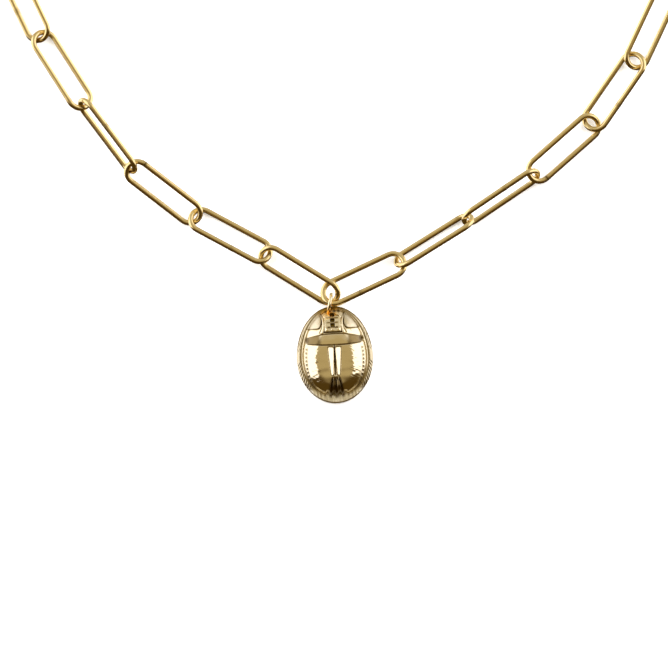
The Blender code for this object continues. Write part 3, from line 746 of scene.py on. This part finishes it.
def make_beetle():
    """The carved top, the side wall and the flat back as one closed mesh."""
    u = np.linspace(-1, 1, GRID_ACROSS)[None, :]
    v = np.linspace(-1, 1, GRID_ALONG)[:, None]
    x = HALF_WIDTH * u * np.sqrt(1 - v * v / 2)
    up = v * np.sqrt(1 - u * u / 2)
    y = up * np.where(up > 0, ABOVE, BELOW)
    height, seam_and_painted_shade = beetle_height(x, y)
    top = np.stack([x, y, height], -1).reshape(-1, 3)
    edge = edge_loop(GRID_ALONG, GRID_ACROSS)
    foot = top[edge] * (1, 1, 0)
    hub = np.zeros((1, 3))
    points = np.concatenate([top, foot, hub])
    low = len(top) + np.arange(len(edge))
    ahead = np.roll(np.arange(len(edge)), -1)
    wall = np.stack([edge, low, low[ahead], edge[ahead]], 1)
    back = np.stack([low, np.full(len(low), len(points) - 1), low[ahead]], 1)
    faces = grid_faces(GRID_ALONG, GRID_ACROSS, False, False).tolist() + wall.tolist() + back.tolist()
    # The depth attribute carries the painted shade.
    depth = np.concatenate([seam_and_painted_shade.ravel(), np.zeros(len(edge) + 1)])
    # The beetle's head round the ring's foot gets the redder gold: the joint and a painted orange
    # reflection.
    joined = np.hypot((points[:, 0] - RING_ASIDE + 0.4) / 1.4, (points[:, 1] - ABOVE + 0.4) * 1.2)
    name = "carved_scarab"
    # Matt parts are rougher and painted a paler gold, which is painted light.
    satin_and_painted_light = np.concatenate([matt_and_painted_light_mask(x, y).ravel(), np.zeros(len(edge) + 1)])
    marks = {"depth": depth, "solder": 1 - rise(joined, 0.5, 2.2), "satin_and_painted_light": satin_and_painted_light}
    return make_piece(name, to_room(points), faces, PENDANT_GOLD, PLATED, "scarab_pendant", **marks)


beetle = make_beetle()
beetle_top = max(corner[2] for corner in beetle.bound_box) / MM
print("beetle faces", len(beetle.data.polygons), "height", round(beetle_top, 2), "mm")

# %% [markdown]
# The pendant's ring stands on edge at its top, turned aside as far as the lowest links leave
# room. It is a torus: a small circle carried round a large one. Its foot sinks into the
# pendant's edge, where it is soldered.

# %% The hanging ring
RING_RADIUS = 1.50
RING_WIRE = 0.55
RING_STEPS = 72
RING_SIDES = 18
RING_AHEAD = ABOVE + 0.50
RING_HEIGHT = RING_RADIUS + RING_WIRE / 2 + 0.02
RING_LEAN = math.radians(-12.0)


def make_ring():
    """A torus on edge: the ring's own plane holds up and the way to the head."""
    around = np.linspace(0, 2 * math.pi, RING_STEPS, endpoint=False)
    ahead = np.array([-math.sin(RING_LEAN), math.cos(RING_LEAN), 0])
    through = np.array([math.cos(RING_LEAN), math.sin(RING_LEAN), 0])
    middle = np.array([RING_ASIDE, RING_AHEAD, RING_HEIGHT])
    upward = np.array([0, 0, 1])
    path = middle + RING_RADIUS * (
        np.cos(around)[:, None] * ahead + np.sin(around)[:, None] * upward
    )
    radius = np.full(RING_STEPS, RING_WIRE / 2)
    points = wire_grid(path, ahead, through, radius, RING_SIDES, True)
    # The ring's half towards the beetle gets the redder gold: the joint and a painted orange reflection.
    foot = 1 - rise(points[:, 1], RING_AHEAD - RING_RADIUS, RING_AHEAD)
    faces = grid_faces(RING_STEPS, RING_SIDES, True, True)
    return make_piece("hanging_ring", to_room(points), faces, PENDANT_GOLD, PLATED, solder=foot)


ring = make_ring()
print("ring", round(2 * RING_RADIUS + RING_WIRE, 2), "mm across")

# %% [markdown]
# The clasp closes the chain at the back. It is one wire: from a ball tip round the hook, down
# the shank, round the eye and slanting back to the shank, where it is soldered. Its place
# follows from the two links it joins: each joint lies a little inside the last link's end.

# %% The clasp
BACK_OVERLAP = 1.32 * MM
CLASP_WIDTH = 4.20 * MM
CLASP_WIRE = 1.00 * MM
CLASP_ROLL = math.radians(24.0)
CLASP_BALL = 1.60 * MM
EYE_SHARE = 0.36
TIP_SHARE = 0.30
EYE_SLANT = math.radians(53.0)
EYE_BEND = 0.9 * MM
CLASP_SIDES = 20
HOOK_STEPS = 26
CORNER_STEPS = 9
BALL_TURNS = 24
BALL_ROWS = 14


def joint_at_end(node, towards):
    """The joint at the end of a link that faces the given node."""
    middle, directions, spans = link_axes(node)
    aim = node_points(towards).mean(0) - middle
    along = directions[0] * np.sign(directions[0] @ aim)
    return middle + along * ((spans[0] - LINK_WIRE) / 2 - BACK_OVERLAP / 2)


def ball_grid(middle, radius, turns, rows):
    """Points of a sphere: circles of radius sin(height angle), with a point at each pole."""
    around = np.linspace(0, 2 * math.pi, turns, endpoint=False)[None, :]
    down = np.linspace(0, math.pi, rows + 2)[1:-1, None]
    shape = np.stack(
        [np.sin(down) * np.cos(around), np.sin(down) * np.sin(around), np.cos(down) + 0 * around], -1
    )
    points = np.concatenate([shape.reshape(-1, 3), [[0, 0, 1]], [[0, 0, -1]]]) * radius + middle
    here = np.arange(turns)
    beside = np.roll(here, -1)
    last = (rows - 1) * turns
    caps = np.stack([here, beside, np.full(turns, rows * turns)], 1)
    ends = np.stack([beside + last, here + last, np.full(turns, rows * turns + 1)], 1)
    return points, grid_faces(rows, turns, False, True)[:, ::-1].tolist() + caps.tolist() + ends.tolist()


def capped_tube(path, through, radius):
    """An open wire closed with a flat cap at each end."""
    points = wire_grid(path, through, through, np.full(len(path), radius), CLASP_SIDES, False)
    faces = grid_faces(len(path), CLASP_SIDES, False, True).tolist()
    first = np.arange(CLASP_SIDES)
    last = first + (len(path) - 1) * CLASP_SIDES
    return points, faces + [first[::-1].tolist(), last.tolist()]


def make_clasp():
    """The bent wire and the ball tip, each closed, as one piece."""
    start = joint_at_end("chain_link_left_15", "hook_clasp")
    stop = joint_at_end("chain_link_right_15", "hook_clasp")
    along = (stop - start) / np.linalg.norm(stop - start)
    across = np.array([along[1], -along[0], 0])
    across /= np.linalg.norm(across)
    up = np.cross(along, across)
    up *= np.sign(up[2])
    across = across * math.cos(CLASP_ROLL) + up * math.sin(CLASP_ROLL)
    through = np.cross(along, across)
    radius = CLASP_WIDTH / 2
    far = np.linalg.norm(stop - start) + BACK_OVERLAP / 2 - radius
    near = radius - BACK_OVERLAP / 2
    tip = far - (far - near) * TIP_SHARE
    eye = near + (far - near) * EYE_SHARE
    turn = np.linspace(math.pi / 2, -math.pi / 2, HOOK_STEPS)
    corner = np.linspace(0, EYE_SLANT, CORNER_STEPS)
    bend = eye - radius - EYE_BEND * math.tan(EYE_SLANT / 2) + EYE_BEND * np.sin(corner)
    fall = radius - EYE_BEND * (1 - np.cos(corner))
    foot = bend[-1] + (fall[-1] + radius) / math.tan(EYE_SLANT)
    flat = np.concatenate(
        [
            [[tip, radius]],
            np.stack([far + radius * np.cos(turn), radius * np.sin(turn)], 1),
            np.stack([near - radius * np.cos(turn[::-1]), radius * np.sin(turn[::-1])], 1),
            np.stack([bend, fall], 1),
            [[foot, -radius]],
        ]
    )
    path = start + flat[:, :1] * along + flat[:, 1:] * across
    parts = [
        capped_tube(path, through, CLASP_WIRE / 2),
        ball_grid(path[0], CLASP_BALL / 2, BALL_TURNS, BALL_ROWS),
    ]
    points = np.concatenate([part[0] for part in parts])
    starts = np.cumsum([0] + [len(part[0]) for part in parts])
    faces = [[n + begin for n in face] for begin, part in zip(starts, parts) for face in part[1]]
    return make_piece("hook_clasp_wire", points, faces, CLASP_GOLD, CLASP, "hook_clasp")


clasp = make_clasp()
print("clasp faces", len(clasp.data.polygons))

# %% [markdown]
# Polished metal shows its surroundings, so they matter more than the lamps. In the photograph
# the flat top of the beetle reflects something tan overhead, its shoulders reflect white panels
# at both sides, and the lower half of every wire reflects a dark room on the viewer's side. A
# sky that changes with direction gives all of this: x is to the right, y away from the viewer,
# and z up. The floor is left out of the reflections, as if it lay far below.

# %% Light and floor
TENT_TOP = (0.48, 0.385, 0.21, 1)
TENT_BACK = (0.67, 0.62, 0.53, 1)
TENT_SIDE = (1.70, 1.65, 1.70, 1)
TENT_FRONT = (0.078, 0.044, 0.008, 1)
TENT_UNDER = (0.50, 0.43, 0.28, 1)
PANEL_ASIDE = 0.5
PANEL_BEHIND = 0.3
PANEL_UP = 0.6
PANEL_SIZE = 0.6
PANEL_POWER = 6.0
FLOOR_HALF = 0.6
FLOOR_GLOW = 0.35


def ramp(wire, low, high):
    """0 to 1 as the wire goes from low to high, smooth at both ends, also where low is larger."""
    settings = {"interpolation_type": "SMOOTHSTEP"}
    return wire.add("ShaderNodeMapRange", settings, {0: wire, 1: low, 2: high, 3: 0.0, 4: 1.0})


def make_tent():
    """A sky with a tan top, pale back, white sides, a dark front and a dull tan underside."""
    world = bpy.data.worlds.new("light_tent")
    bpy.context.scene.world = world
    world.use_nodes = True
    tree = world.node_tree
    places = tree.nodes.new("ShaderNodeTexCoord")
    view = Wire(tree, places.outputs["Generated"])
    x = view.add("ShaderNodeSeparateXYZ", {}, {0: view})
    y = Wire(tree, x.socket.node.outputs[1])
    z = Wire(tree, x.socket.node.outputs[2])
    flat = x * x + y * y + 0.0001
    level = flat.maths("POWER", flat, 0.5)
    lean = y.maths("DIVIDE", y, level)
    white = ramp(lean - x * 0.12, -0.42, -0.22) * ramp(lean, 0.86, 0.66)
    white = white * ramp(z, 0.76, 0.64) * ramp(z, -0.90, -0.70)
    colour = ramp(y, 0.15, 0.75).mixed(TENT_TOP, TENT_BACK)
    colour = ramp(z, -0.70, -0.95).mixed(colour, TENT_UNDER)
    colour = ramp(y, -0.05, -0.45).mixed(colour, TENT_FRONT)
    colour = white.mixed(colour, TENT_SIDE)
    background = tree.nodes["Background"]
    connect(colour, background.inputs["Color"])
    background.inputs["Strength"].default_value = 1.0


def soft_panel(name, place):
    """A square soft white lamp turned towards the middle of the floor."""
    light = bpy.data.lights.new(name, "AREA")
    light.shape = "SQUARE"
    light.size = PANEL_SIZE
    light.energy = PANEL_POWER
    panel = bpy.data.objects.new(name, light)
    panel.location = place
    panel.rotation_euler = (-Vector(place)).to_track_quat("-Z", "Y").to_euler()
    panel.visible_glossy = False
    bpy.context.scene.collection.objects.link(panel)


def make_floor():
    """A plain pale floor, glowing a little so that it stays white as in the photograph."""
    material, shader, place = start_material("pale_floor")
    shader.inputs["Base Color"].default_value = (0.93, 0.93, 0.93, 1)
    shader.inputs["Roughness"].default_value = 0.9
    shader.inputs["Emission Color"].default_value = (1, 1, 1, 1)
    shader.inputs["Emission Strength"].default_value = FLOOR_GLOW
    half = FLOOR_HALF
    corners = [(-half, -half, 0), (half, -half, 0), (half, half, 0), (-half, half, 0)]
    mesh = bpy.data.meshes.new("floor")
    mesh.from_pydata(corners, [], [(0, 1, 2, 3)])
    mesh.materials.append(material)
    floor = bpy.data.objects.new("floor", mesh)
    floor.visible_glossy = False
    bpy.context.scene.collection.objects.link(floor)


make_tent()
make_floor()
soft_panel("panel_left", (-PANEL_ASIDE, PANEL_BEHIND, PANEL_UP))
soft_panel("panel_right", (PANEL_ASIDE, PANEL_BEHIND, PANEL_UP))
bpy.context.scene.view_settings.view_transform = "Standard"
